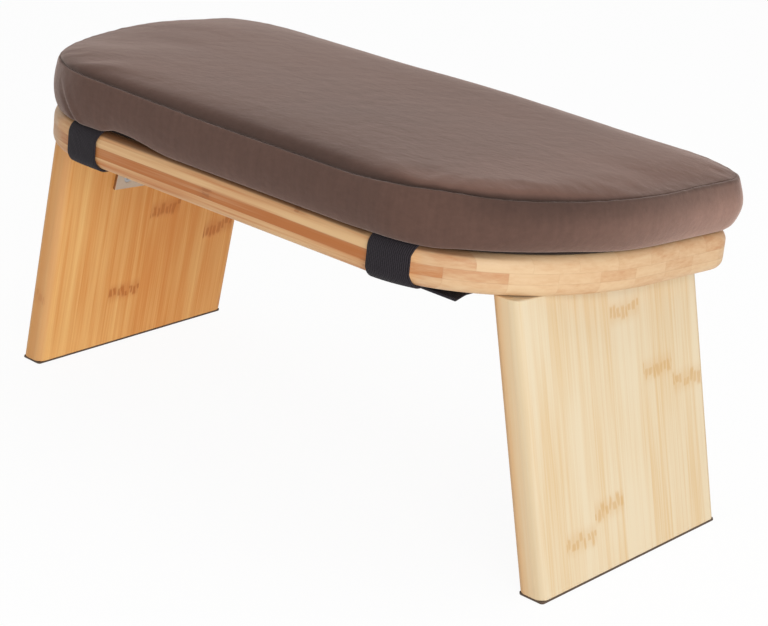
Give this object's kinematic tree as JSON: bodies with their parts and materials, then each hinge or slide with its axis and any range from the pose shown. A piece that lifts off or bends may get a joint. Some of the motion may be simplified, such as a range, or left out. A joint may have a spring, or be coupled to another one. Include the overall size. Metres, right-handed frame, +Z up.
{
  "type": "folding kneeling bench",
  "caption": "Low kneeling bench with a sloping laminated bamboo seat, hinged panel legs that fold flat underneath and a strapped-on padded cushion.",
  "frame": {"origin": "on the floor under the middle of the bench's bounding box", "axes": "+X along the seat to its right end, +Y to the low front edge where the sitter's knees point, +Z up"},
  "size_m": [0.48, 0.2354, 0.2396],
  "materials": {
    "bamboo": "laminated bamboo strips under a satin clear lacquer",
    "pile_fabric": "short-pile taupe brown fabric",
    "foam": "open-cell upholstery foam",
    "lining": "plain woven dark lining",
    "webbing": "ribbed black webbing",
    "closure_tape": "black hook and loop tape",
    "zinc_steel": "zinc plated",
    "foot_rubber": "matte dark grey-brown"
  },
  "bodies": {
    "seat": {"seat_board": "bamboo", "cushion_cover": "pile_fabric", "cushion_foam": "foam", "cushion_base": "lining", "left_strap_rear": "webbing", "left_strap_front": "webbing", "left_loop_patch": "closure_tape", "left_hook_patch": "closure_tape", "right_strap_rear": "webbing", "right_strap_front": "webbing", "right_loop_patch": "closure_tape", "right_hook_patch": "closure_tape", "left_seat_leaf": "zinc_steel", "left_hinge_pin": "zinc_steel", "left_seat_screw_1": "zinc_steel", "left_seat_screw_2": "zinc_steel", "left_seat_screw_3": "zinc_steel", "left_seat_screw_4": "zinc_steel", "right_seat_leaf": "zinc_steel", "right_hinge_pin": "zinc_steel", "right_seat_screw_1": "zinc_steel", "right_seat_screw_2": "zinc_steel", "right_seat_screw_3": "zinc_steel", "right_seat_screw_4": "zinc_steel"},
    "left_leg": {"left_leg": "bamboo", "left_foot_pad": "foot_rubber", "left_leg_leaf": "zinc_steel", "left_leg_screw_1": "zinc_steel", "left_leg_screw_2": "zinc_steel", "left_leg_screw_3": "zinc_steel", "left_leg_screw_4": "zinc_steel"},
    "right_leg": {"right_leg": "bamboo", "right_foot_pad": "foot_rubber", "right_leg_leaf": "zinc_steel", "right_leg_screw_1": "zinc_steel", "right_leg_screw_2": "zinc_steel", "right_leg_screw_3": "zinc_steel", "right_leg_screw_4": "zinc_steel"}
  },
  "joints": [
    {"name": "left_leg_fold", "type": "hinge", "parent": "seat", "child": "left_leg", "pos_m": [-0.18121, 0.00851, 0.16549], "axis": [0, -0.9971, 0.0767], "range_deg": [0, 101.7]},
    {"name": "right_leg_fold", "type": "hinge", "parent": "seat", "child": "right_leg", "pos_m": [0.18121, 0.00851, 0.16549], "axis": [0, 0.9971, -0.0767], "range_deg": [0, 101.7]}
  ]
}
